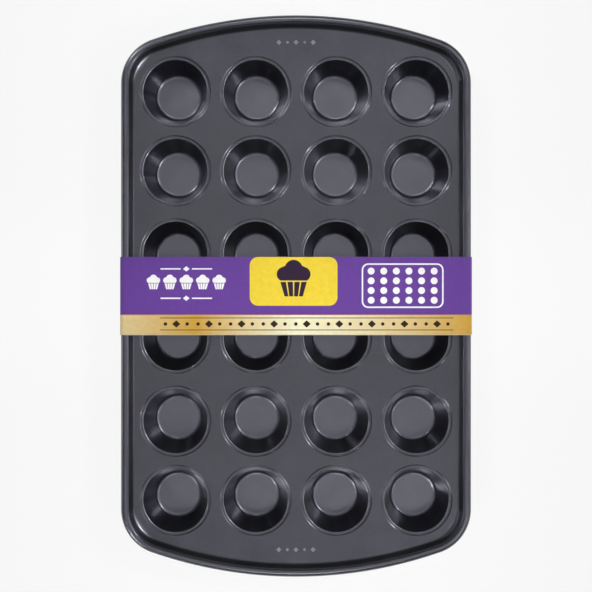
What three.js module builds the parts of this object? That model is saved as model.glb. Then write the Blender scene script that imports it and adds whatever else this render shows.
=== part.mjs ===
import * as THREE from 'three';
import { mergeGeometries, mergeVertices } from 'three/addons/utils/BufferGeometryUtils.js';

// Mini muffin pan: one pressed, coated steel sheet with a grid of cups and a rim rolled over a
// wire, in a card sleeve. Millimetres, +Z up, +Y along the pan. The origin lies on the table,
// under the middle. The sheet is split at the mouth of each cup and at the foot of the rim, face
// to face.

// Sheet and fits
const sheetThickness = 0.6;
const clearance = 0.3;

// Cups, from the floor up
const cupColumns = 4;
const cupRows = 6;
const cupDepth = 21.5;
const floorRadius = 14.6;
const floorFillet = 2.6;
const lipRadius = 0.9;
const ledgeWidth = 1.8;
const ledgeDrop = 0.5;
const ledgeRadius = 25.8;

// Deck, from ledge to ledge and out to the foot of the rim. Along the pan the cups stand closer
// together towards the ends.
const webAcross = 6.6;
const middleWebAlong = 9.4;
const innerWebAlong = 8.4;
const outerWebAlong = 5.6;
const sideMargin = 2.9;
const cornerCupMargin = 4.4;

// Rim and outline
const rimHeight = 6.1;
const footFillet = 2.2;
const wallLeanDegrees = 30;
const cornerFootFillet = 4.8;
const cornerLeanDegrees = 34;
const wireDiameter = 4.8;
const curlEndDegrees = -145;
const cornerRadius = 33;
const endRadius = 316;

// Sleeve
const sleeveLength = 56;
const cardThickness = 0.4;
const lapWidth = 16;
const seamWidth = 0.4;

// Facets
const cupSides = 20;
const cornerSteps = 7;
const endSteps = 8;
const wireSides = 6;

// Levels above the table
const floorUnderside = cardThickness + clearance;
const floorTop = floorUnderside + sheetThickness;
const deckTop = floorTop + cupDepth;
const lipTop = deckTop - ledgeDrop;
const rimTop = deckTop + rimHeight;

// Places of the cups
const columnPlaces = places(cupColumns, [webAcross]);
const rowPlaces = places(cupRows, [middleWebAlong, innerWebAlong, outerWebAlong]);
const outerColumn = columnPlaces[cupColumns - 1];
const outerRow = rowPlaces[cupRows - 1];

// Rim sections, one for the sides and ends and one for the middle of a corner: x grows outward
// from zero at the pan's edge, so all of a section has a negative x
const beadRadius = wireDiameter / 2 + clearance + sheetThickness;
const beadCentre = new THREE.Vector2(-beadRadius, rimTop - beadRadius);
const sideFoot = footOfWall(footFillet, wallLeanDegrees);
const cornerFoot = footOfWall(cornerFootFillet, cornerLeanDegrees);
const rimRun = -sideFoot.x;

// Outline: straight sides, round corners and bowed ends, each tangent to the next. The margin of
// the bowed ends is that at the corner cups, where the deck is narrowest.
const halfWidth = outerColumn + ledgeRadius + sideMargin + rimRun;
const cornerCupReach = endRadius - rimRun - cornerCupMargin - ledgeRadius;
const cornerX = halfWidth - cornerRadius;
const endY = outerRow - Math.sqrt(cornerCupReach ** 2 - outerColumn ** 2);
const cornerY = endY + Math.sqrt((endRadius - cornerRadius) ** 2 - cornerX ** 2);
const cornerSweepDegrees = THREE.MathUtils.radToDeg(Math.atan2(cornerY - endY, cornerX));
const outline = outlineStations();

// Finishes
const coating = new THREE.MeshStandardMaterial({
  name: 'non_stick_coating',
  color: 0x55555c,
  roughness: 0.42,
  metalness: 0.55,
  flatShading: true,
});
const wireSteel = new THREE.MeshStandardMaterial({
  name: 'wire_steel',
  color: 0xa9abad,
  roughness: 0.35,
  metalness: 1,
  flatShading: true,
});
const printedCard = new THREE.MeshStandardMaterial({
  name: 'printed_card',
  color: 0x6b469c,
  roughness: 0.55,
  metalness: 0,
  flatShading: true,
});

// Places of a row of cups, its middle at zero. The webs between the ledges are given from the
// middle of the row outward, and any further ones are like the last.
function places(count, webs) {
  const row = [0];
  for (let gap = 0; gap + 1 < count; gap += 1) {
    const fromMiddle = Math.floor(Math.abs(gap - (count - 2) / 2));
    const web = webs[Math.min(fromMiddle, webs.length - 1)];
    row.push(row[gap] + 2 * ledgeRadius + web);
  }
  return row.map((place) => place - row[count - 1] / 2);
}

function pointAt(centre, radius, degrees) {
  const angle = THREE.MathUtils.degToRad(degrees);
  return new THREE.Vector2(
    centre.x + radius * Math.cos(angle),
    centre.y + radius * Math.sin(angle),
  );
}

function arcPoints(centre, radius, from, to, steps) {
  return Array.from({ length: steps + 1 }, (_, index) =>
    pointAt(centre, radius, from + ((to - from) * index) / steps),
  );
}

// Both faces of a sheet follow the same bends. A bend's radius is that of the upper face. The
// lower face's is larger where the centre lies above the sheet, and smaller where it lies below.
function upperFace(bends) {
  return bends.flatMap((bend) =>
    arcPoints(bend.centre, bend.radius, bend.from, bend.to, bend.steps),
  );
}

function lowerFace(bends, thickness) {
  return bends.flatMap((bend) => {
    const radius = bend.centreAbove ? bend.radius + thickness : bend.radius - thickness;
    if (bend.lowerSteps === 0) {
      return [pointAt(bend.centre, radius, (bend.from + bend.to) / 2)];
    }
    return arcPoints(bend.centre, radius, bend.from, bend.to, bend.lowerSteps);
  });
}

// The wall of the rim leans out from a hollow fillet at its foot and is tangent to the bead. This
// is the centre of the fillet.
function footOfWall(fillet, leanDegrees) {
  const facing = pointAt(new THREE.Vector2(), 1, 180 - leanDegrees);
  const level = deckTop + fillet;
  const reach = beadCentre.dot(facing) + beadRadius + fillet;
  return new THREE.Vector2((reach - level * facing.y) / facing.x, level);
}

// Direction that the upper face of a straight wall looks in, from a hollow bend round `low` to a
// proud bend round `high`, where the two radii add up to `radii`
function wallBetween(low, high, radii) {
  const run = high.clone().sub(low);
  return THREE.MathUtils.radToDeg(run.angle() + Math.acos(-radii / run.length()));
}

// Stations round an arc of the outline. Each has its direction and how far it lies into a corner,
// as a share that swells from 0 where the corner starts to 1 in its middle.
function arcStations(x, y, radius, from, to, steps, isCorner) {
  return Array.from({ length: steps + 1 }, (_, index) => ({
    centre: new THREE.Vector2(x, y),
    radius,
    degrees: from + ((to - from) * index) / steps,
    cornerShare: isCorner ? Math.sin((Math.PI * index) / steps) ** 2 : 0,
  }));
}

// The pan's outline, anticlockwise from the right-hand side
function outlineStations() {
  const sweep = cornerSweepDegrees;
  const far = [
    ...arcStations(cornerX, cornerY, cornerRadius, 0, sweep, cornerSteps, true),
    ...arcStations(0, endY, endRadius, sweep, 180 - sweep, endSteps, false).slice(1, -1),
    ...arcStations(-cornerX, cornerY, cornerRadius, 180 - sweep, 180, cornerSteps, true),
  ];
  const near = far.map((station) => ({
    ...station,
    centre: station.centre.clone().negate(),
    degrees: station.degrees + 180,
  }));
  return [...far, ...near];
}

function circle(x, y, radius, sides) {
  return arcPoints(new THREE.Vector2(x, y), radius, 0, 360, sides).slice(0, -1);
}

// Rings of equal count joined into a surface, each ring to the next
function ringSurface(rings) {
  const count = rings[0].length;
  const positions = rings.flat().flatMap((point) => [point.x, point.y, point.z]);
  const indices = [];
  for (let ring = 0; ring + 1 < rings.length; ring += 1) {
    for (let step = 0; step < count; step += 1) {
      const next = (step + 1) % count;
      const a = ring * count + step;
      const b = (ring + 1) * count + step;
      const c = (ring + 1) * count + next;
      const d = ring * count + next;
      indices.push(a, b, c, a, c, d);
    }
  }
  const geometry = new THREE.BufferGeometry();
  geometry.setAttribute('position', new THREE.Float32BufferAttribute(positions, 3));
  geometry.setIndex(indices);
  return geometry;
}

function ringAt(points, z) {
  return points.map((point) => new THREE.Vector3(point.x, point.y, z));
}

// A point of the rim's section carried round the outline, from its place at the sides to its
// place in the corners
function lineRoundPan(side, corner) {
  return outline.map((station) => {
    const point = side.clone().lerp(corner, station.cornerShare);
    const place = pointAt(station.centre, station.radius + point.x, station.degrees);
    return new THREE.Vector3(place.x, place.y, point.y);
  });
}

function aroundPan(side, corner) {
  return ringSurface(side.map((point, index) => lineRoundPan(point, corner[index])));
}

function flatFace(contour, holes, z, facesUp) {
  const shape = new THREE.Shape(contour);
  shape.holes = holes.map((hole) => new THREE.Path(hole));
  const geometry = new THREE.ShapeGeometry(shape);
  geometry.deleteAttribute('normal');
  geometry.deleteAttribute('uv');
  geometry.translate(0, 0, z);
  if (!facesUp) {
    const index = geometry.getIndex();
    index.array.reverse();
  }
  return geometry;
}

function joined(surfaces) {
  const geometry = mergeVertices(mergeGeometries(surfaces));
  geometry.computeVertexNormals();
  return geometry;
}

// Deck: the flat web, with an opening at each cup
function deckGeometry() {
  const sideEdge = new THREE.Vector2(sideFoot.x, deckTop);
  const cornerEdge = new THREE.Vector2(cornerFoot.x, deckTop);
  const contour = lineRoundPan(sideEdge, cornerEdge);
  const openings = rowPlaces.flatMap((y) =>
    columnPlaces.map((x) => circle(x, y, ledgeRadius, cupSides)),
  );
  const underside = deckTop - sheetThickness;
  return joined([
    ringSurface([ringAt(contour, deckTop), ringAt(contour, underside)]),
    flatFace(contour, openings, deckTop, true),
    flatFace(contour, openings, underside, false),
    ...openings.map((edge) => ringSurface([ringAt(edge, underside), ringAt(edge, deckTop)])),
  ]);
}

// Section of the rim: from the deck's edge a fillet up into the leaning wall, and the wall's edge
// curled down and back round the wire. It closes on itself where it meets the deck.
function rimSection(foot, fillet, leanDegrees) {
  const facing = 180 - leanDegrees;
  const bends = [
    {
      centre: foot,
      radius: fillet,
      centreAbove: true,
      from: 270,
      to: 180 + facing,
      steps: 2,
      lowerSteps: 1,
    },
    {
      centre: beadCentre,
      radius: beadRadius,
      centreAbove: false,
      from: facing,
      to: curlEndDegrees,
      steps: 9,
      lowerSteps: 8,
    },
  ];
  const upper = upperFace(bends);
  const lower = lowerFace(bends, sheetThickness).reverse();
  return [...upper, ...lower, upper[0]];
}

// Rolled rim: the fillet at its foot swells and its wall leans further out towards the middle of
// each corner
function rimGeometry() {
  const side = rimSection(sideFoot, footFillet, wallLeanDegrees);
  const corner = rimSection(cornerFoot, cornerFootFillet, cornerLeanDegrees);
  return joined([aroundPan(side, corner)]);
}

// Cup: flat floor, hollow fillet, tapered wall, rounded lip, and the shallow ledge that rises from
// the lip to the deck
function cupGeometry() {
  const floorCentre = new THREE.Vector2(floorRadius, floorTop + floorFillet);
  const lipCentre = new THREE.Vector2(ledgeRadius - ledgeWidth, lipTop - lipRadius);
  const facing = wallBetween(floorCentre, lipCentre, floorFillet + lipRadius);
  const bends = [
    {
      centre: floorCentre,
      radius: floorFillet,
      centreAbove: true,
      from: 270,
      to: 180 + facing,
      steps: 2,
      lowerSteps: 1,
    },
    {
      centre: lipCentre,
      radius: lipRadius,
      centreAbove: false,
      from: facing,
      to: 90,
      steps: 1,
      lowerSteps: 0,
    },
  ];
  const inside = [
    new THREE.Vector2(0, floorTop),
    ...upperFace(bends),
    new THREE.Vector2(ledgeRadius, deckTop),
  ];
  const outside = [
    new THREE.Vector2(0, floorUnderside),
    ...lowerFace(bends, sheetThickness),
    new THREE.Vector2(ledgeRadius, deckTop - sheetThickness),
  ];
  return new THREE.LatheGeometry([...outside, ...inside.reverse()], cupSides).rotateX(Math.PI / 2);
}

// Wire: a closed loop inside the curl
function wireGeometry() {
  const section = arcPoints(beadCentre, wireDiameter / 2, 360, 0, wireSides);
  return joined([aroundPan(section, section)]);
}

// Sleeve: one strip of card drawn tight over the rims and under the outer cups, as a tangent runs
// round two circles, with its ends glued in a lap below
function sleeveFolds() {
  const rim = new THREE.Vector2(halfWidth - beadRadius, beadCentre.y);
  const foot = new THREE.Vector2(outerColumn + floorRadius, floorTop + floorFillet);
  const rimFold = beadRadius + clearance + cardThickness;
  const footFold = floorFillet + sheetThickness + clearance + cardThickness;
  const run = rim.clone().sub(foot);
  const turn = Math.acos((footFold - rimFold) / run.length());
  const slant = THREE.MathUtils.radToDeg(run.angle() - turn);
  return [
    {
      centre: rim,
      radius: rimFold,
      centreAbove: false,
      from: 90,
      to: slant,
      steps: 4,
      lowerSteps: 4,
    },
    {
      centre: foot,
      radius: footFold,
      centreAbove: false,
      from: slant,
      to: -90,
      steps: 2,
      lowerSteps: 2,
    },
  ];
}

function mirrored(points) {
  return points.map((point) => new THREE.Vector2(-point.x, point.y)).reverse();
}

// The lap lies between the feet of two neighbouring columns, its outer end below its inner one.
// The outer edge of the section runs clockwise, and the hollow the other way.
function sleeveGeometry() {
  const folds = sleeveFolds();
  const outer = upperFace(folds);
  const inner = lowerFace(folds, cardThickness);
  const column = Math.floor(cupColumns / 2);
  const lapMiddle = (columnPlaces[column - 1] + columnPlaces[column]) / 2;
  const lapStart = lapMiddle - lapWidth / 2;
  const lapEnd = lapMiddle + lapWidth / 2;
  const seam = [
    new THREE.Vector2(lapEnd, 0),
    new THREE.Vector2(lapEnd, cardThickness),
    new THREE.Vector2(lapEnd - seamWidth, cardThickness),
    new THREE.Vector2(lapEnd - seamWidth, 0),
  ];
  const lap = [
    new THREE.Vector2(lapEnd + cardThickness, cardThickness),
    new THREE.Vector2(lapEnd + cardThickness, 2 * cardThickness),
    new THREE.Vector2(lapStart, 2 * cardThickness),
    new THREE.Vector2(lapStart, cardThickness),
  ];
  const section = new THREE.Shape([...outer, ...seam, ...mirrored(outer)]);
  const hollow = [...inner, ...lap, ...mirrored(inner)];
  section.holes = [new THREE.Path(hollow.reverse())];
  const options = { depth: sleeveLength, bevelEnabled: false };
  const geometry = new THREE.ExtrudeGeometry(section, options);
  return geometry.translate(0, 0, -sleeveLength / 2).rotateX(Math.PI / 2);
}

function named(name, geometry, material) {
  const mesh = new THREE.Mesh(geometry, material);
  mesh.name = name;
  return mesh;
}

// Assembly
const pan = new THREE.Group();
pan.add(named('deck', deckGeometry(), coating));
pan.add(named('rolled_rim', rimGeometry(), coating));
pan.add(named('rim_wire', wireGeometry(), wireSteel));
const cupShape = cupGeometry();
[...rowPlaces].reverse().forEach((y, row) => {
  columnPlaces.forEach((x, column) => {
    const cup = named(`cup_row${row + 1}_column${column + 1}`, cupShape, coating);
    cup.position.set(x, y, 0);
    pan.add(cup);
  });
});

const sleeve = new THREE.Group();
sleeve.add(named('card_sleeve', sleeveGeometry(), printedCard));

const group = new THREE.Group();
group.add(pan, sleeve);

export default group;
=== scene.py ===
import math

import bmesh
import bpy
import numpy as np
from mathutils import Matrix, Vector
from mathutils.geometry import tessellate_polygon


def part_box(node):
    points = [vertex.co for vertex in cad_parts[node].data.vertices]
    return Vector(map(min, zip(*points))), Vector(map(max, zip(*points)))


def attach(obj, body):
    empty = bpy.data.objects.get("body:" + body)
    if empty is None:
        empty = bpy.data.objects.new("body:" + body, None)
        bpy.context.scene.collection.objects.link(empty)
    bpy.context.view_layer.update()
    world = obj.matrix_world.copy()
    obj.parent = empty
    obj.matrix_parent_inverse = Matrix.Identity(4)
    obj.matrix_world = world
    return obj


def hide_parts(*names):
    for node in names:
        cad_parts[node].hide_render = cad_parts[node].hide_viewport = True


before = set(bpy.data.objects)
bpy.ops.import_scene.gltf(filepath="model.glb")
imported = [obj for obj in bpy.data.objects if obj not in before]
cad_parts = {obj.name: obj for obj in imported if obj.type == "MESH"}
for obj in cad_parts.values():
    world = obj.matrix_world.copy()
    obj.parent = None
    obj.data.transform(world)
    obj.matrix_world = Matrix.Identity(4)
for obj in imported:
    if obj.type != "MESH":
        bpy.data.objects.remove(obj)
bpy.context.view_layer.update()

# The pan lies flat and is seen from straight above. Its sheet is one seamless mesh with the cups,
# the deck and the rolled rim. The card sleeve is a second one, with its print lying on it.

MM = 0.001
PAN = "pan"
SLEEVE = "sleeve"
DECK = "deck"
RIM = "rolled_rim"
WIRE = "rim_wire"
CARD = "card_sleeve"
CUPS = sorted(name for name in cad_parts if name.startswith("cup_"))

# Sizes of the sheet's section, in mm and degrees. They follow the construction, but the foot of the
# rim is a little tighter here along the straight sides, and the step up from a cup's ledge to the
# deck is a soft one.
SHEET = 0.6
FLOOR_RADIUS = 14.6
FLOOR_FILLET = 2.6
LIP_RADIUS = 0.9
LIP_PLACE = 24.0
LEDGE_DROP = 0.5
STEP_START = 24.8
STEP_END = 26.1
FOOT_FILLET = 1.5
CORNER_FOOT_FILLET = 4.8
WALL_LEAN = 27
CORNER_FOOT_LEAN = 34
CURL_END = -145
WIRE_DIAMETER = 4.8
CURL_GAP = 0.3
CORNER_RADIUS = 33.0
END_RADIUS = 316.0
BEAD_RADIUS = WIRE_DIAMETER / 2 + CURL_GAP + SHEET

# Rings beside a bend keep the flat next to it flat in the shading. They stand this far from the
# bend, or at these shares of a wall's height. At 0.25 the tones of a cup's floor have faded out.
SUPPORT = 0.4
CUP_WALL_RINGS = ((0.03, 0.25, 0.97), (0.03, 0.97))
RIM_WALL_RINGS = (0.06, 0.94)

# Steps round the curves. In pairs, here and above: on the sheet's upper face, and on its plainer
# underside.
CUP_STEPS = 64
CORNER_STEPS = 30
END_STEPS = 40
WIRE_STEPS = 16
FLOOR_BEND_STEPS = (10, 5)
LIP_STEPS = (8, 4)
LEDGE_STEPS = (7, 4)
FOOT_STEPS = (12, 6)
CURL_STEPS = (34, 17)


def box_mm(node_name):
    low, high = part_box(node_name)
    return [v / MM for v in low], [v / MM for v in high]


def middle_mm(node_name):
    low, high = box_mm(node_name)
    return (low[0] + high[0]) / 2, (low[1] + high[1]) / 2


# Levels and places, from the frame
HALF_WIDTH, HALF_LENGTH, RIM_TOP = box_mm(RIM)[1]
DECK_TOP = box_mm(DECK)[1][2]
LIP_TOP = DECK_TOP - LEDGE_DROP
FLOOR_TOP = box_mm(CUPS[0])[0][2] + SHEET
CUP_PLACES = [middle_mm(cup) for cup in CUPS]


# Meshes
def arc(cx, cz, radius, start, end, steps):
    """Points of a circular bend in a section, from one direction to the other, in degrees."""
    angles = np.radians(np.linspace(start, end, steps + 1))
    return [(cx + radius * math.cos(a), cz + radius * math.sin(a)) for a in angles]


def make_piece(name, vertices, faces, body, materials, face_slots=None, smooth=True):
    """A mesh object from points in mm, riding on a body of the frame."""
    mesh = bpy.data.meshes.new(name)
    mesh.from_pydata((np.asarray(vertices) * MM).tolist(), [], faces)
    mesh.validate()
    for material in materials:
        mesh.materials.append(material)
    if face_slots is not None:
        mesh.polygons.foreach_set("material_index", face_slots)
    mesh.polygons.foreach_set("use_smooth", [smooth] * len(mesh.polygons))
    mesh.update()
    piece = bpy.data.objects.new(name, mesh)
    bpy.context.scene.collection.objects.link(piece)
    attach(piece, body)
    return piece


def face_outward(piece):
    """Turns the faces of a closed mesh so that they all look outward."""
    made = bmesh.new()
    made.from_mesh(piece.data)
    bmesh.ops.recalc_face_normals(made, faces=made.faces)
    made.to_mesh(piece.data)
    made.free()


def triangles_over(loops):
    """Triangles that fill flat loops, as numbers of their points, each turned to face up."""
    points = [point for loop in loops for point in loop]
    filled = []
    for triangle in tessellate_polygon([[Vector((x, y, 0)) for x, y, *_ in loop] for loop in loops]):
        pa, pb, pc = (points[i] for i in triangle)
        turn = (pb[0] - pa[0]) * (pc[1] - pa[1]) - (pb[1] - pa[1]) * (pc[0] - pa[0])
        filled.append(triangle if turn > 0 else triangle[::-1])
    return filled


# Tones, 0 to 1, say of each point how far the coating is rubbed bright there, partly as a painted
# highlight, how much painted light it has as a cup floor's lighter tone, and which streak runs
# through it. This streak leaves it as it is.
NO_STREAK = 0.5


class Surface:
    """Points and faces of one body, gathered ring by ring, and the tones of its points."""

    def __init__(self):
        self.points = []
        self.faces = []
        self.tones = {"polish_and_highlight": [], "floor": [], "streak": []}

    def ring(self, points, polish_and_highlight=0.0, floor=0.0, streak=NO_STREAK):
        """Adds a ring. A tone is one number for the whole ring, or a list with one per point."""
        start = len(self.points)
        self.points.extend(points)
        for name, tone in (("polish_and_highlight", polish_and_highlight), ("floor", floor), ("streak", streak)):
            self.tones[name].extend(tone if isinstance(tone, list) else [tone] * len(points))
        return start

    def bridge(self, first, second, count, closed=True):
        """Faces from one ring to another of as many points."""
        for step in range(count if closed else count - 1):
            following = (step + 1) % count
            self.faces.append(
                (first + step, second + step, second + following, first + following)
            )

    def fan(self, ring, middle, count, outward):
        """Faces from a ring in to one point."""
        for step in range(count):
            face = (ring + step, ring + (step + 1) % count, middle)
            self.faces.append(face if outward else face[::-1])


# Section of a cup, from its middle out to the flat deck: radius and height of each ring
def cup_facing():
    """Direction that the tapered wall's inner face looks in, in degrees."""
    run = (LIP_PLACE - FLOOR_RADIUS, LIP_TOP - LIP_RADIUS - FLOOR_TOP - FLOOR_FILLET)
    length = math.hypot(*run)
    away = math.acos(-(FLOOR_FILLET + LIP_RADIUS) / length)
    return math.degrees(math.atan2(run[1], run[0]) + away)


def step_up(drop, steps):
    """The gentle step from the ledge round the lip up to the deck."""
    points = []
    for share in np.linspace(0, 1, steps + 1):
        rise = LEDGE_DROP * (1 - math.cos(math.pi * share)) / 2
        points.append((STEP_START + (STEP_END - STEP_START) * share, LIP_TOP + rise - drop))
    return points + [(STEP_END + SUPPORT, DECK_TOP - drop)]


def cup_section(lower):
    facing = cup_facing()
    drop = SHEET if lower else 0.0
    fillet = FLOOR_FILLET + drop
    lip = LIP_RADIUS - drop
    floor_rings = (FLOOR_RADIUS - SUPPORT,) if lower else (FLOOR_RADIUS / 2, FLOOR_RADIUS - SUPPORT)
    floor = [(radius, FLOOR_TOP - drop) for radius in floor_rings]
    bend_steps, lip_steps = FLOOR_BEND_STEPS[lower], LIP_STEPS[lower]
    bend = arc(FLOOR_RADIUS, FLOOR_TOP + FLOOR_FILLET, fillet, 270, 180 + facing, bend_steps)
    edge = arc(LIP_PLACE, LIP_TOP - LIP_RADIUS, lip, facing, 90, lip_steps)
    start, end = np.array(bend[-1]), np.array(edge[0])
    wall = [tuple(start + (end - start) * share) for share in CUP_WALL_RINGS[lower]]
    return floor + bend + wall + edge + step_up(drop, LEDGE_STEPS[lower])


# Where the coating is rubbed bright in a cup, which is partly a painted highlight: on the lip, at
# this share of its radius below its top and fading out down the wall, and more faintly where the
# floor starts to bend up, as a painted highlight ring
LIP_HIGHLIGHT_PLACE = 0.18
LIP_HIGHLIGHT_FADE = 0.33
FLOOR_HIGHLIGHT = 0.4
FLOOR_HIGHLIGHT_RISE = FLOOR_FILLET / 4
STREAK_SEED = 24


def cup_polish_and_highlight(radius, height):
    """How far the coating is rubbed bright at a point of a cup, partly as a painted highlight."""
    low = (LIP_TOP - height) / LIP_RADIUS
    crest = min(low / LIP_HIGHLIGHT_PLACE, 1 - (low - LIP_HIGHLIGHT_PLACE) / LIP_HIGHLIGHT_FADE)
    if radius > LIP_PLACE:
        crest = 0.0
    # A faint painted highlight ring where the floor starts to bend up
    edge = 1 - abs(height - FLOOR_TOP - FLOOR_HIGHLIGHT_RISE) / FLOOR_HIGHLIGHT_RISE
    return max(0.0, crest, FLOOR_HIGHLIGHT * edge)


def painted_floor_light(radius, height):
    """How much painted light a point has, which makes a cup floor lighter: it fades out up the wall."""
    rise = (height - FLOOR_TOP) / (2 * FLOOR_FILLET)
    return max(0.0, 1 - rise) if radius < LIP_PLACE else 0.0


def wall_share(radius, height):
    """How far a point lies on the tapered wall, where drawing the sheet has left its streaks."""
    above = (height - FLOOR_TOP) / FLOOR_FILLET
    return min(1.0, above) if radius < LIP_PLACE else 0.0


def cup_tones(radius, height, marks):
    """Polish with its painted highlight, painted floor light and streaks of one ring of a cup."""
    streak = NO_STREAK + (marks - NO_STREAK) * wall_share(radius, height)
    return cup_polish_and_highlight(radius, height), painted_floor_light(radius, height), list(streak)


def cup_rings(surface, lower):
    """All the cups' rings; returns the outermost ring of each."""
    section = cup_section(lower)
    angles = np.arange(CUP_STEPS) * 2 * math.pi / CUP_STEPS
    circle = np.stack([np.cos(angles), np.sin(angles)], axis=1)
    drawing = np.random.default_rng(STREAK_SEED)
    edges = []
    for x, y in CUP_PLACES:
        marks = drawing.random(CUP_STEPS)
        middle = surface.ring([(x, y, section[0][1])], floor=0.0 if lower else 1.0)
        previous = None
        for radius, height in section:
            points = [(x + radius * c, y + radius * s, height) for c, s in circle]
            tones = () if lower else cup_tones(radius, height, marks)
            ring = surface.ring(points, *tones)
            if previous is None:
                surface.fan(ring, middle, CUP_STEPS, not lower)
            elif lower:
                surface.bridge(ring, previous, CUP_STEPS)
            else:
                surface.bridge(previous, ring, CUP_STEPS)
            previous = ring
        edges.append(previous)
    return edges


# Outline of the pan: for each point its arc's centre and radius, its direction, and how much it
# belongs to a corner
def outline_points():
    corner_x = HALF_WIDTH - CORNER_RADIUS
    end_y = HALF_LENGTH - END_RADIUS
    corner_y = end_y + math.sqrt((END_RADIUS - CORNER_RADIUS) ** 2 - corner_x**2)
    sweep = math.degrees(math.atan2(corner_y - end_y, corner_x))
    points = []

    def add(cx, cy, radius, start, end, steps, corner):
        shared = 0 if corner else 1
        for index in range(shared, steps + 1 - shared):
            share = index / steps
            angle = math.radians(start + (end - start) * share)
            weight = math.sin(math.pi * share) ** 2 if corner else 0.0
            points.append((cx, cy, radius, math.cos(angle), math.sin(angle), weight))

    for side in (1, -1):
        turn = 0 if side == 1 else 180
        near, far = turn + sweep, turn + 180 - sweep
        x, y = side * corner_x, side * corner_y
        add(x, y, CORNER_RADIUS, turn, near, CORNER_STEPS, True)
        add(0, side * end_y, END_RADIUS, near, far, END_STEPS, False)
        add(-x, y, CORNER_RADIUS, far, turn + 180, CORNER_STEPS, True)
    return points


def rim_section(lower, fillet, lean):
    """Section of the rim from the deck out and round the curl: x is measured out from the edge."""
    drop = SHEET if lower else 0.0
    facing = 180 - lean
    nx, nz = math.cos(math.radians(facing)), math.sin(math.radians(facing))
    bead_x, bead_z = -BEAD_RADIUS, RIM_TOP - BEAD_RADIUS
    foot_z = DECK_TOP + fillet
    reach = bead_x * nx + bead_z * nz + BEAD_RADIUS + fillet
    foot_x = (reach - foot_z * nz) / nx
    foot = arc(foot_x, foot_z, fillet + drop, 270, 180 + facing, FOOT_STEPS[lower])
    curl = arc(bead_x, bead_z, BEAD_RADIUS - drop, facing, CURL_END, CURL_STEPS[lower])
    gap = np.array(curl[0]) - np.array(foot[-1])
    wall = [tuple(np.array(foot[-1]) + gap * share) for share in RIM_WALL_RINGS]
    support = [(foot_x - SUPPORT, DECK_TOP - drop)]
    return support + foot + wall + curl


# Where the coating is rubbed bright on the rim: faintly on its crest, and in the corners where its
# foot bends up, round this share of the foot's rings, as a painted highlight
RIM_POLISH = 0.1
RIM_POLISH_FALL = 2.5
CORNER_HIGHLIGHT = 0.55
CORNER_HIGHLIGHT_PLACE = 0.6
CORNER_HIGHLIGHT_REACH = 0.45


def rim_polish_and_highlight(height, along, weight):
    """How far the coating is rubbed bright at a point of the rim, with a painted highlight in the
    corners.
    """
    crest = max(0.0, 1 - RIM_POLISH_FALL * (RIM_TOP - height) / BEAD_RADIUS)
    # In the corners the foot gets a painted highlight
    bend = max(0.0, 1 - abs(along - CORNER_HIGHLIGHT_PLACE) / CORNER_HIGHLIGHT_REACH)
    return max(RIM_POLISH * crest, CORNER_HIGHLIGHT * bend * weight)


def rim_rings(surface, outline, lower):
    straight = np.array(rim_section(lower, FOOT_FILLET, WALL_LEAN))
    corner = np.array(rim_section(lower, CORNER_FOOT_FILLET, CORNER_FOOT_LEAN))
    rings = []
    for index in range(len(straight)):
        points = []
        for cx, cy, radius, ux, uy, weight in outline:
            x, z = straight[index] * (1 - weight) + corner[index] * weight
            points.append((cx + (radius + x) * ux, cy + (radius + x) * uy, z))
        polish_and_highlight = 0.0
        if not lower:
            height, along = straight[index][1], index / FOOT_STEPS[lower]
            polish_and_highlight = [rim_polish_and_highlight(height, along, weight) for *_, weight in outline]
        rings.append(surface.ring(points, polish_and_highlight))
    return rings


def flat_of_deck(surface, rims, cups, count):
    """The flat of the deck, above and below, between the rim's foot and the cups."""
    loops = {}
    for lower in (False, True):
        edges = [(rims[lower][0], count)] + [(edge, CUP_STEPS) for edge in cups[lower]]
        loops[lower] = [range(start, start + size) for start, size in edges]
    upper, under = ([i for loop in loops[lower] for i in loop] for lower in (False, True))
    for triangle in triangles_over([[surface.points[i] for i in loop] for loop in loops[False]]):
        surface.faces.append(tuple(upper[i] for i in triangle))
        surface.faces.append(tuple(under[i] for i in reversed(triangle)))


def make_sheet(material):
    surface = Surface()
    outline = outline_points()
    count = len(outline)
    rims = {lower: rim_rings(surface, outline, lower) for lower in (False, True)}
    cups = {lower: cup_rings(surface, lower) for lower in (False, True)}
    for first, second in zip(rims[False], rims[False][1:]):
        surface.bridge(first, second, count)
    for first, second in zip(rims[True], rims[True][1:]):
        surface.bridge(second, first, count)
    surface.bridge(rims[False][-1], rims[True][-1], count)
    flat_of_deck(surface, rims, cups, count)
    piece = make_piece("pan_sheet", surface.points, surface.faces, PAN, [material])
    for name, tones in surface.tones.items():
        layer = piece.data.attributes.new(name, "FLOAT", "POINT")
        layer.data.foreach_set("value", tones)
    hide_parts(DECK, RIM, *CUPS)


def make_wire(material):
    surface = Surface()
    outline = outline_points()
    section = arc(-BEAD_RADIUS, RIM_TOP - BEAD_RADIUS, WIRE_DIAMETER / 2, 360, 0, WIRE_STEPS)[:-1]
    rings = []
    for x, z in section:
        points = [
            (cx + (r + x) * ux, cy + (r + x) * uy, z) for cx, cy, r, ux, uy, _ in outline
        ]
        rings.append(surface.ring(points))
    for index, first in enumerate(rings):
        surface.bridge(first, rings[(index + 1) % len(rings)], len(outline))
    piece = make_piece("rim_wire_loop", surface.points, surface.faces, PAN, [material])
    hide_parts(WIRE)


# Flat shapes: each is a list of loops of points, the outer edge first and then its holes
DISC_STEPS = 28
ROUND_STEPS = 8
RULE_ROUNDING = 0.8


def disc(x, y, radius):
    return [arc(x, y, radius, 0, 360, DISC_STEPS)[:-1]]


def diamond(x, y, half_width, half_height):
    return [[(x + half_width, y), (x, y + half_height), (x - half_width, y), (x, y - half_height)]]


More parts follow.
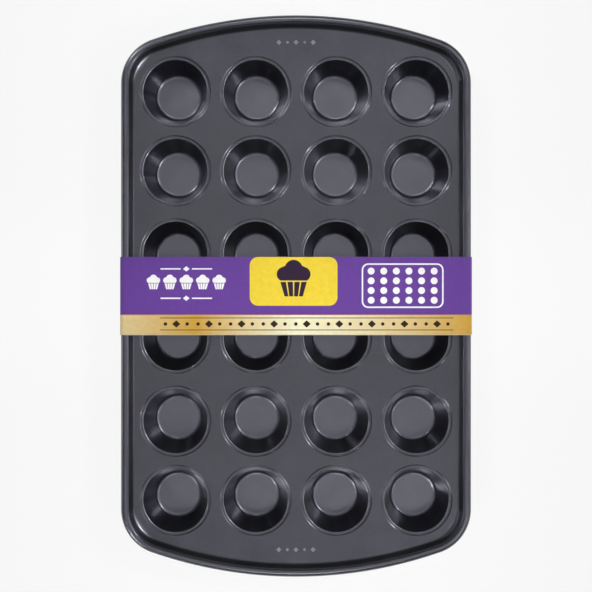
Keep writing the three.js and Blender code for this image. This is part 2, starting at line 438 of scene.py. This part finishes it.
def round_box(x0, y0, x1, y1, radius):
    """One loop: a box with round corners."""
    return (
        arc(x1 - radius, y1 - radius, radius, 0, 90, ROUND_STEPS)
        + arc(x0 + radius, y1 - radius, radius, 90, 180, ROUND_STEPS)
        + arc(x0 + radius, y0 + radius, radius, 180, 270, ROUND_STEPS)
        + arc(x1 - radius, y0 + radius, radius, 270, 360, ROUND_STEPS)
    )


def rule(x0, x1, y, half):
    """A straight line with rounded ends."""
    return [round_box(x0, y - half, x1, y + half, RULE_ROUNDING * half)]


def spaced(start, end, count, room=0.0):
    """Even places in a span, with extra room before and after them, in steps between places."""
    return [start + (end - start) * (i + 0.5 + room) / (count + 2 * room) for i in range(count)]


def wound(loop, outer):
    """The loop in the direction that suits it: an outer edge to the left, a hole to the right."""
    x, y = np.array(loop).T
    area = 0.5 * float(np.sum(x * np.roll(y, -1) - y * np.roll(x, -1)))
    return loop if (area > 0) == outer else loop[::-1]


def side_faces(first, size, rise):
    """Faces on one loop's edge, up to its copy, whose points come so many numbers later."""
    faces = []
    for step in range(size):
        a, b = first + step, first + (step + 1) % size
        faces.append((a, b, b + rise, a + rise))
    return faces


def flat_solids(shapes, bottom, top, taper=0.0):
    """Thin closed solids over flat shapes. Their sides may taper in towards the top."""
    points = []
    faces = []
    for shape in shapes:
        loops = [wound(loop, number == 0) for number, loop in enumerate(shape)]
        flat = [(x, y) for loop in loops for x, y in loop]
        middle = np.mean(loops[0], axis=0)
        reach = np.max(np.abs(np.array(loops[0]) - middle))
        narrowed = middle + (np.array(flat) - middle) * (1 - taper / reach)
        start, count = len(points), len(flat)
        points += [(x, y, bottom) for x, y in flat] + [(x, y, top) for x, y in narrowed]
        for triangle in triangles_over(loops):
            faces.append(tuple(start + count + i for i in triangle))
            faces.append(tuple(start + i for i in reversed(triangle)))
        for loop in loops:
            faces += side_faces(start, len(loop), count)
            start += len(loop)
    return points, faces


# Marks pressed up out of the deck at both ends: diamonds, and dots between them. Their lighter grey
# coating is partly a painted highlight.
MARK_PLACE = 183.4
MARK_PITCH = 6.2
MARK_NUMBERS = (-2, -1, 0, 1, 2)
MARK_DIAMOND = 2.0
MARK_DOT = 1.1
MARK_RISE = 0.22
MARK_ROOT = 0.05
MARK_TAPER = 0.35


def make_marks(material):
    shapes = []
    for end in (1, -1):
        for number in MARK_NUMBERS:
            x, y = number * MARK_PITCH, end * MARK_PLACE
            if number % 2:
                shapes.append(disc(x, y, MARK_DOT))
            else:
                shapes.append(diamond(x, y, MARK_DIAMOND, MARK_DIAMOND))
    points, faces = flat_solids(shapes, DECK_TOP - MARK_ROOT, DECK_TOP + MARK_RISE, MARK_TAPER)
    piece = make_piece("deck_marks", points, faces, PAN, [material], smooth=False)


# Materials. A noise is its scale and its detail, and its values mostly lie between the low one
# and the high one. Bumps are in metres.
MOTTLE = (55.0, 4.0)
SPECK = (1600.0, 2.0)
PEEL = (420.0, 3.0)
WIRE_GRAIN = (900.0, 3.0)
FIBRE = (300.0, 4.0)
CLOUD = (24.0, 2.0)
NOISE_LOW = 0.3
NOISE_HIGH = 0.7
FINE_BUMP = 0.00005
BROAD_BUMP = 0.0002


def new_material(name):
    material = bpy.data.materials.new(name)
    material.use_nodes = True
    tree = material.node_tree
    return material, tree, tree.nodes["Principled BSDF"]


def fill(tree, made, inputs):
    """Links sockets to a node's inputs, and writes plain values into them."""
    for key, value in inputs.items():
        if isinstance(value, bpy.types.NodeSocket):
            tree.links.new(value, made.inputs[key])
        else:
            made.inputs[key].default_value = value


def node(tree, kind, inputs=None, **settings):
    made = tree.nodes.new(kind)
    for key, value in settings.items():
        setattr(made, key, value)
    fill(tree, made, inputs or {})
    return made


def object_place(tree):
    return node(tree, "ShaderNodeTexCoord").outputs["Object"]


def noise(tree, kind):
    scale, detail = kind
    inputs = {"Vector": object_place(tree), "Scale": scale, "Detail": detail}
    return node(tree, "ShaderNodeTexNoise", inputs).outputs["Fac"]


def spread_between(tree, value, start, end, low, high):
    """Maps a value from one range to another."""
    inputs = {"Value": value, "From Min": start, "From Max": end, "To Min": low, "To Max": high}
    return node(tree, "ShaderNodeMapRange", inputs).outputs["Result"]


def varied(tree, value, middle, spread):
    """A level that goes with a noise, by the spread at most to either side of its middle."""
    return spread_between(tree, value, NOISE_LOW, NOISE_HIGH, middle - spread, middle + spread)


def toned(tree, name, low, high):
    """A level that goes with one of the tones of the sheet's points."""
    tone = node(tree, "ShaderNodeAttribute", attribute_name=name).outputs["Fac"]
    return spread_between(tree, tone, 0.0, 1.0, low, high)


def product(tree, first, second):
    return node(tree, "ShaderNodeMath", {0: first, 1: second}, operation="MULTIPLY").outputs[0]


def scaled(tree, colour, factor):
    inputs = {0: colour, "Scale": factor}
    return node(tree, "ShaderNodeVectorMath", inputs, operation="SCALE").outputs["Vector"]


def bumped(tree, layers):
    """Bump layers one on the other: each is a height, a strength and a distance in metres."""
    normal = None
    for height, strength, distance in layers:
        inputs = {"Height": height, "Strength": strength, "Distance": distance}
        if normal is not None:
            inputs["Normal"] = normal
        normal = node(tree, "ShaderNodeBump", inputs).outputs["Normal"]
    return normal


# Coating: its colour and roughness, how far the noises and the streaks vary them, and the most
# that a tone of the points multiplies them by. The rubbed tone is partly a painted highlight, and
# the floor tone is painted light.
COATING = (0.075, 0.076, 0.094)
# The marks' lighter grey is partly a painted highlight, for the light that they catch
MARK_COATING_AND_HIGHLIGHT = (0.27, 0.27, 0.29)
COATING_ROUGHNESS = 0.34
ROUGHNESS_SPREAD = 0.03
MOTTLE_SPREAD = 0.07
SPECK_SPREAD = 0.1
STREAK_SPREAD = 0.08
RUBBED_AND_HIGHLIGHT_TONE = 4.5
RUBBED_ROUGHNESS = 0.8
# The cup floors' lighter tone is painted light
FLOOR_PAINTED_LIGHT = 1.65


def coating_material(name, base):
    """Dark non-stick coating: mottled, speckled, with a slight orange peel, painted highlights and
    painted floor light.
    """
    material, tree, shader = new_material(name)
    mottle, speck, peel = noise(tree, MOTTLE), noise(tree, SPECK), noise(tree, PEEL)
    drawn = toned(tree, "streak", 1 - STREAK_SPREAD, 1 + STREAK_SPREAD)
    # The rubbed tone brightens the colour: partly wear, partly a painted highlight
    rubbed_and_highlight = toned(tree, "polish_and_highlight", 1.0, RUBBED_AND_HIGHLIGHT_TONE)
    # Painted light: the cup floors are made lighter than the deck
    floor_painted_lighter = toned(tree, "floor", 1.0, FLOOR_PAINTED_LIGHT)
    smoother = toned(tree, "polish_and_highlight", 1.0, RUBBED_ROUGHNESS)
    broad, fine = varied(tree, mottle, 1.0, MOTTLE_SPREAD), varied(tree, speck, 1.0, SPECK_SPREAD)
    texture = product(tree, product(tree, broad, fine), drawn)
    dull = varied(tree, mottle, COATING_ROUGHNESS, ROUGHNESS_SPREAD)
    inputs = {
        "Base Color": scaled(tree, base, product(tree, texture, product(tree, rubbed_and_highlight, floor_painted_lighter))),
        "Roughness": product(tree, dull, smoother),
        "Metallic": 0.9,
        "Specular IOR Level": 0.3,
        "Coat Weight": 0.6,
        "Coat Roughness": 0.12,
        "Normal": bumped(tree, [(speck, 0.12, FINE_BUMP), (peel, 0.25, FINE_BUMP)]),
    }
    fill(tree, shader, inputs)
    return material


WIRE_TONES = ((0.36, 0.37, 0.38), (0.6, 0.61, 0.62))


def wire_material():
    material, tree, shader = new_material("wire_steel")
    ramp = node(tree, "ShaderNodeValToRGB", {"Fac": noise(tree, WIRE_GRAIN)})
    for element, tone in zip(ramp.color_ramp.elements, WIRE_TONES):
        element.color = (*tone, 1)
    fill(tree, shader, {"Base Color": ramp.outputs["Color"], "Metallic": 1.0, "Roughness": 0.35})
    return material


def linear(red, green, blue):
    """A colour as it looks on a screen, 0 to 255, turned into a shader's colour."""
    return tuple(((v / 255 + 0.055) / 1.055) ** 2.4 for v in (red, green, blue))


FIBRE_SPREAD = 0.04
CLOUD_SPREAD = 0.015
CARD_ROUGHNESS_SPREAD = 0.04


def card_material(name, colour, roughness):
    """Printed or bare card: its tone and gloss follow the fibres a little."""
    material, tree, shader = new_material(name)
    fibre, cloud = noise(tree, FIBRE), noise(tree, CLOUD)
    fine, broad = varied(tree, fibre, 1.0, FIBRE_SPREAD), varied(tree, cloud, 1.0, CLOUD_SPREAD)
    base = colour(tree) if callable(colour) else colour
    inputs = {
        "Base Color": scaled(tree, base, product(tree, fine, broad)),
        "Roughness": varied(tree, fibre, roughness, CARD_ROUGHNESS_SPREAD),
        "Specular IOR Level": 0.25,
        "Normal": bumped(tree, [(fibre, 0.12, FINE_BUMP), (cloud, 0.1, BROAD_BUMP)]),
    }
    fill(tree, shader, inputs)
    return material


# Gold strip: its sheen is printed, and this is how pale it is at places across it, in mm
DEEP_GOLD = linear(214, 166, 58)
PALE_GOLD = linear(255, 250, 212)
GOLD_SHEEN = ((-126, 0.5), (-72, 0.0), (2, 1.0), (126, 0.0))


def gold_shades(tree):
    across = node(tree, "ShaderNodeSeparateXYZ", {"Vector": object_place(tree)}).outputs["X"]
    first, last = GOLD_SHEEN[0][0], GOLD_SHEEN[-1][0]
    share = spread_between(tree, across, first * MM, last * MM, 0.0, 1.0)
    ramp = node(tree, "ShaderNodeValToRGB", {"Fac": share})
    elements = ramp.color_ramp.elements
    made_with_ramp = len(elements)
    for number, (x, sheen) in enumerate(GOLD_SHEEN):
        position = (x - first) / (last - first)
        if number < made_with_ramp:
            element = elements[number]
            element.position = position
        else:
            element = elements.new(position)
        tone = [d + (p - d) * sheen for d, p in zip(DEEP_GOLD, PALE_GOLD)]
        element.color = (*tone, 1)
    return ramp.outputs["Color"]


# Sleeve: a strip of card folded round the rim's bead and the outer cups' feet, its ends lapped
# below, so that its outer end shows as a seam. Along the pan its print starts with the gold
# strip, and a thin orange line parts that from the purple field. Sizes in mm.
card_low, card_high = box_mm(CARD)
CARD_INSET = 0.05
CARD_THICKNESS = 0.34
LAP_GAP = 0.04
LAP_WIDTH = 16.0
SEAM_WIDTH = 0.4
LAP_RUN = 1.2
LAP_STEPS = 5
RIM_FOLD_STEPS = 16
FOOT_FOLD_STEPS = 12
CARD_TOP = card_high[2] - CARD_INSET
PURPLE_SHARE = 41.3 / 56.0
BORDER_LINE = 0.35
CUT_EDGE = 0.3

# The card's materials, each with its colour and roughness, and their numbers on it
CARD_FACES = (
    ("card_purple", linear(106, 65, 156), 0.42),
    ("card_gold", gold_shades, 0.36),
    ("card_orange", linear(214, 130, 60), 0.42),
    ("card_board", (0.62, 0.6, 0.56), 0.8),
)
PURPLE, GOLD, ORANGE, BOARD = range(len(CARD_FACES))


def card_folds(inset):
    """Folds of the card round the rim's bead and round the outer cups' feet, on one side."""
    rim = (HALF_WIDTH - BEAD_RADIUS, RIM_TOP - BEAD_RADIUS)
    foot = (max(x for x, y in CUP_PLACES) + FLOOR_RADIUS, FLOOR_TOP + FLOOR_FILLET)
    rim_fold = card_high[2] - rim[1]
    foot_fold = foot[1] - card_low[2]
    run = (rim[0] - foot[0], rim[1] - foot[1])
    turn = math.acos((foot_fold - rim_fold) / math.hypot(*run))
    slant = math.degrees(math.atan2(run[1], run[0]) - turn)
    upper = arc(*rim, rim_fold - inset, 90, slant, RIM_FOLD_STEPS)
    lower = arc(*foot, foot_fold - inset, slant, -90, FOOT_FOLD_STEPS)
    return upper + lower


def card_section():
    """Outer and inner face of the strip, from its outer end below round to its inner end."""
    faces = []
    for inset in (CARD_INSET, CARD_INSET + CARD_THICKNESS):
        right = card_folds(inset)
        left = [(-x, z) for x, z in reversed(right)]
        level = card_low[2] + inset
        over = level + CARD_THICKNESS + LAP_GAP
        lap_end = LAP_WIDTH / 2
        start = [(lap_end - SEAM_WIDTH, level), (lap_end - SEAM_WIDTH - SUPPORT, level)]
        lap = []
        for share in np.linspace(0, 1, LAP_STEPS + 1):
            rise = (over - level) * (1 - math.cos(math.pi * share)) / 2
            lap.append((lap_end + LAP_RUN * (1 - share), level + rise))
        end = [(-lap_end + SUPPORT, over), (-lap_end, over)]
        faces.append(start + left + right + lap + end)
    return faces


def card_rows():
    """Places along the pan where the strip's outer face changes, and the material between them."""
    low, high = card_low[1], card_high[1]
    split = high - (high - low) * PURPLE_SHARE
    places = [low, low + CUT_EDGE / 3, low + CUT_EDGE, split - BORDER_LINE, split]
    places += [high - CUT_EDGE / 3, high]
    return places, [BOARD, BOARD, GOLD, ORANGE, PURPLE, PURPLE]


def make_sleeve(materials):
    """The strip: printed outside down to just above its lower edge, and bare card elsewhere."""
    sections = card_section()
    count = len(sections[0])
    places, slots = card_rows()
    surface = Surface()
    outer, inner = (
        [surface.ring([(x, y, z) for x, z in section]) for y in places] for section in sections
    )
    face_slots = []
    for row, slot in enumerate(slots):
        surface.bridge(outer[row], outer[row + 1], count, closed=False)
        surface.bridge(inner[row + 1], inner[row], count, closed=False)
        face_slots += [slot] * (count - 1) + [BOARD] * (count - 1)
        for end in (0, count - 1):
            rings = (outer[row], outer[row + 1], inner[row + 1], inner[row])
            surface.faces.append(tuple(ring + end for ring in rings))
            face_slots.append(BOARD)
    surface.bridge(inner[0], outer[0], count, closed=False)
    surface.bridge(outer[-1], inner[-1], count, closed=False)
    face_slots += [BOARD] * (2 * (count - 1))
    piece = make_piece("card_sleeve_wrap", surface.points, surface.faces, SLEEVE, materials, face_slots)
    face_outward(piece)
    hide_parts(CARD)


# Print on the sleeve's top: each ink is a film of its own, and lies one film or two above the card.
# Places in mm from the pan's middle.
INK = 0.02
INKS = {
    "print_yellow": ("ink_yellow", linear(246, 216, 60), 0.42),
    "print_aubergine": ("ink_aubergine", linear(46, 24, 54), 0.4),
    "print_white": ("ink_white", linear(254, 253, 254), 0.45),
    "print_brown": ("ink_brown", linear(44, 29, 10), 0.4),
}

# The yellow patch, and the large muffin on it
PATCH = (-33.1, -7.0, 29.7, 27.9)
PATCH_CORNER = 6.0
PATCH_MUFFIN_LEVEL = 11.6
PATCH_MUFFIN_SIZE = 25.0

# A row of small muffins between two lines, which part round a diamond
MUFFIN_ROW = (-102, -90.25, -78.5, -66.75, -55)
MUFFIN_LEVEL = 9.6
MUFFIN_SIZE = 10.0
LINE_LEVELS = (19.4, -1.6)
LINE_HALF = 0.5
LEFT_LINE = (-97, -82.5)
RIGHT_LINE = (-74.5, -60)
LINE_DIAMOND = (2.4, 1.9)

# A tray of dots
TRAY = (47.0, -8.6, 105.6, 23.4)
TRAY_CORNER = 4.7
TRAY_LINE = 1.1
TRAY_DOTS = (6, 4)
TRAY_ROOM = (0.25, 0.3)
TRAY_DOT = 2.5

# The border on the gold strip: between two lines, groups of a dot, a diamond and a dot
BAND = (-97.3, 112.6)
BAND_MIDDLE = -20.0
BAND_LINE = 4.3
BAND_LINE_HALF = 0.25
BAND_MARKS = 27
BAND_GROUP = 3
BAND_DIAMOND = (2.9, 2.6)
BAND_DOT = 1.25

# A muffin's shape, in halves of its size: its top's lobes, each with its middle, radius, ends in
# degrees and steps, and its case's level and half width below and above
LOBES = (
    (0.55, 0.32, 0.42, -60, 75, 8),
    (0.0, 0.62, 0.52, 20, 160, 10),
    (-0.55, 0.32, 0.42, 105, 240, 8),
)
CASE_BOTTOM = (-0.95, 0.55)
CASE_TOP = (-0.12, 0.8)
PLEATS = 4
PLEAT_GAP = 0.1


def muffin(x, y, size):
    """A muffin seen from the side: a domed top with three lobes, and a pleated case."""
    half = size / 2
    top = []
    for across, up, radius, start, end, steps in LOBES:
        top += arc(x + across * half, y + up * half, radius * half, start, end, steps)
    shapes = [[top]]
    for pleat in range(PLEATS):
        sides = [-1 + 2 * (pleat + share) / PLEATS for share in (PLEAT_GAP, 1 - PLEAT_GAP)]
        loop = []
        for (level, width), ends in ((CASE_BOTTOM, sides), (CASE_TOP, sides[::-1])):
            loop += [(x + width * half * side, y + level * half) for side in ends]
        shapes.append([loop])
    return shapes


def white_print():
    shapes = []
    for x in MUFFIN_ROW:
        shapes += muffin(x, MUFFIN_LEVEL, MUFFIN_SIZE)
    middle = MUFFIN_ROW[len(MUFFIN_ROW) // 2]
    for y in LINE_LEVELS:
        shapes.append(rule(*LEFT_LINE, y, LINE_HALF))
        shapes.append(diamond(middle, y, *LINE_DIAMOND))
        shapes.append(rule(*RIGHT_LINE, y, LINE_HALF))
    x0, y0, x1, y1 = TRAY
    inside = (x0 + TRAY_LINE, y0 + TRAY_LINE, x1 - TRAY_LINE, y1 - TRAY_LINE)
    shapes.append([round_box(*TRAY, TRAY_CORNER), round_box(*inside, TRAY_CORNER - TRAY_LINE)])
    columns = spaced(x0, x1, TRAY_DOTS[0], TRAY_ROOM[0])
    rows = spaced(y0, y1, TRAY_DOTS[1], TRAY_ROOM[1])
    return shapes + [disc(x, y, TRAY_DOT) for x in columns for y in rows]


def dark_print():
    shapes = []
    for y in (BAND_MIDDLE + BAND_LINE, BAND_MIDDLE - BAND_LINE):
        shapes.append(rule(*BAND, y, BAND_LINE_HALF))
    for index, x in enumerate(spaced(*BAND, BAND_MARKS)):
        if index % BAND_GROUP == 1:
            shapes.append(diamond(x, BAND_MIDDLE, *BAND_DIAMOND))
        else:
            shapes.append(disc(x, BAND_MIDDLE, BAND_DOT))
    return shapes


def make_print():
    patch_middle = (PATCH[0] + PATCH[2]) / 2
    films = {
        "print_yellow": ([[round_box(*PATCH, PATCH_CORNER)]], 1),
        "print_aubergine": (muffin(patch_middle, PATCH_MUFFIN_LEVEL, PATCH_MUFFIN_SIZE), 2),
        "print_white": (white_print(), 1),
        "print_brown": (dark_print(), 1),
    }
    for name, (shapes, layer) in films.items():
        points, faces = flat_solids(shapes, CARD_TOP - INK, CARD_TOP + layer * INK)
        ink = card_material(*INKS[name])
        piece = make_piece(name, points, faces, SLEEVE, [ink], smooth=False)


# Studio: a white floor and backdrop, softboxes from above and from both sides, and gridded ones in
# pairs. In a pair each lights one half of the pan from its own end, or in the middle pair, which
# is narrow, the sleeve. For each: direction and height in degrees, distance, the point that it
# aims at, width and height, grid angle, and level: the share of its own brightness that a flat
# card shows in it.
LAMP_PAIRS = {
    "end": (90, 60, 2.0, (0.0, 0.19), (0.6, 0.35), 16, 0.28),
    "left": (135, 45, 1.8, (-0.02, 0.21), (0.26, 0.24), 12, 0.48),
    "right": (45, 60, 1.8, (0.03, 0.16), (0.25, 0.25), 16, 0.1),
    "edge": (-28, 38, 1.8, (-0.02, 0.22), (0.6, 0.3), 13, 0.55),
    "middle": (90, 45, 2.0, (0.0, 0.0), (0.5, 0.02), 2.4, 1.3),
}
SINGLE_LAMPS = {
    "above": (90, 89.9, 1.4, (-0.08, 0.0), (1.3, 1.1), 120, 0.2),
    "side": (0, 45, 1.6, (0.0, 0.0), (0.6, 0.3), 60, 0.06),
    "low_right": (0, 20, 1.6, (0.0, 0.0), (0.8, 0.1), 60, 0.03),
    "low_left": (180, 20, 1.6, (0.0, 0.0), (0.8, 0.1), 60, 0.04),
}
WORLD_LEVEL = 0.05
WHITE = (1, 1, 1, 1)


def grid_gain(grid):
    """How many times brighter a lamp gets on its axis when its light is held within a grid."""
    a = math.radians(grid) / 2
    inside = math.sin(a) ** 2 / 2 - (a / 2 - math.sin(2 * a) / 4) / math.tan(a)
    return 0.5 / inside


def softbox(name, azimuth, elevation, distance, aim, size, grid, level):
    """A lamp that shows at its level, whatever its distance, its height and its grid."""
    turn, rise = math.radians(azimuth), math.radians(elevation)
    away = Vector((math.cos(rise) * math.cos(turn), math.cos(rise) * math.sin(turn), math.sin(rise)))
    light = bpy.data.lights.new(name, "AREA")
    light.shape = "RECTANGLE"
    light.size, light.size_y = size
    light.spread = math.radians(grid)
    light.energy = level * (math.pi * distance) ** 2 / (grid_gain(grid) * math.sin(rise))
    lamp = bpy.data.objects.new(name, light)
    lamp.location = Vector((*aim, RIM_TOP * MM)) + away * distance
    lamp.rotation_euler = (-away).to_track_quat("-Z", "Y").to_euler()
    bpy.context.scene.collection.objects.link(lamp)


def make_studio():
    scene = bpy.context.scene
    scene.view_settings.view_transform = "Standard"
    world = bpy.data.worlds.new("studio")
    scene.world = world
    world.use_nodes = True
    background = world.node_tree.nodes["Background"]
    fill(world.node_tree, background, {"Color": WHITE, "Strength": WORLD_LEVEL})
    for name, (azimuth, elevation, distance, (x, y), size, grid, level) in LAMP_PAIRS.items():
        softbox(name + "_far", azimuth, elevation, distance, (x, y), size, grid, level)
        softbox(name + "_near", -azimuth, elevation, distance, (x, -y), size, grid, level)
    for name, settings in SINGLE_LAMPS.items():
        softbox(name, *settings)


STUDIO_RADIUS = 4.0
STUDIO_SIDES = 64
STUDIO_PAINT = (0.9, 0.9, 0.9, 1)
BACKDROP_HEIGHT = 0.9
FLOOR_GAP = 0.2 * MM
GLOW_SHARE = 0.87


def studio_white():
    """White that mostly glows where the camera or a gloss sees it. The rest of it is paint, which
    takes the object's shadow, and no other light comes from the glow."""
    material, tree, shader = new_material("studio_white")
    paint = {"Base Color": STUDIO_PAINT, "Roughness": 0.9, "Specular IOR Level": 0.1}
    fill(tree, shader, paint)
    path = node(tree, "ShaderNodeLightPath")
    seen = path.outputs["Is Camera Ray"]
    for ray in ("Is Glossy Ray", "Is Transmission Ray"):
        inputs = {0: seen, 1: path.outputs[ray]}
        seen = node(tree, "ShaderNodeMath", inputs, operation="MAXIMUM").outputs[0]
    share = product(tree, seen, GLOW_SHARE)
    glow = node(tree, "ShaderNodeEmission", {"Color": WHITE, "Strength": 1.0})
    inputs = {0: share, 1: shader.outputs["BSDF"], 2: glow.outputs["Emission"]}
    mixed = node(tree, "ShaderNodeMixShader", inputs)
    fill(tree, tree.nodes["Material Output"], {"Surface": mixed.outputs["Shader"]})
    return material


def make_floor():
    """The floor is a disc just below the object, and the backdrop stands round its edge."""
    angles = np.arange(STUDIO_SIDES) * 2 * math.pi / STUDIO_SIDES
    edge = [(STUDIO_RADIUS * math.cos(a), STUDIO_RADIUS * math.sin(a)) for a in angles]
    points = [(x, y, z) for z in (-FLOOR_GAP, BACKDROP_HEIGHT) for x, y in edge]
    faces = [tuple(range(STUDIO_SIDES))]
    for step in range(STUDIO_SIDES):
        following = (step + 1) % STUDIO_SIDES
        faces.append((following, step, step + STUDIO_SIDES, following + STUDIO_SIDES))
    mesh = bpy.data.meshes.new("studio")
    mesh.from_pydata(points, [], faces)
    mesh.materials.append(studio_white())
    studio = bpy.data.objects.new("studio", mesh)
    bpy.context.scene.collection.objects.link(studio)


# Camera: straight above the pan's middle. At the level of the rim's bead it takes in as many mm
# as the photo's pixels cover there.
CAMERA_HEIGHT = 0.66
PHOTO_PIXELS = 592
MM_PER_PIXEL = 0.72
SENSOR_WIDTH = 36.0


def make_camera():
    level = (RIM_TOP - BEAD_RADIUS) * MM
    seen_width = PHOTO_PIXELS * MM_PER_PIXEL * MM
    camera = bpy.data.cameras.new("camera")
    camera.sensor_width = SENSOR_WIDTH
    camera.lens = SENSOR_WIDTH * (CAMERA_HEIGHT - level) / seen_width
    holder = bpy.data.objects.new("camera", camera)
    holder.location = (0, 0, CAMERA_HEIGHT)
    bpy.context.scene.collection.objects.link(holder)
    bpy.context.scene.camera = holder


make_camera()
make_studio()
make_floor()
make_sheet(coating_material("non_stick_coating", COATING))
make_marks(coating_material("coating_on_marks", MARK_COATING_AND_HIGHLIGHT))
make_wire(wire_material())
make_sleeve([card_material(*face) for face in CARD_FACES])
make_print()
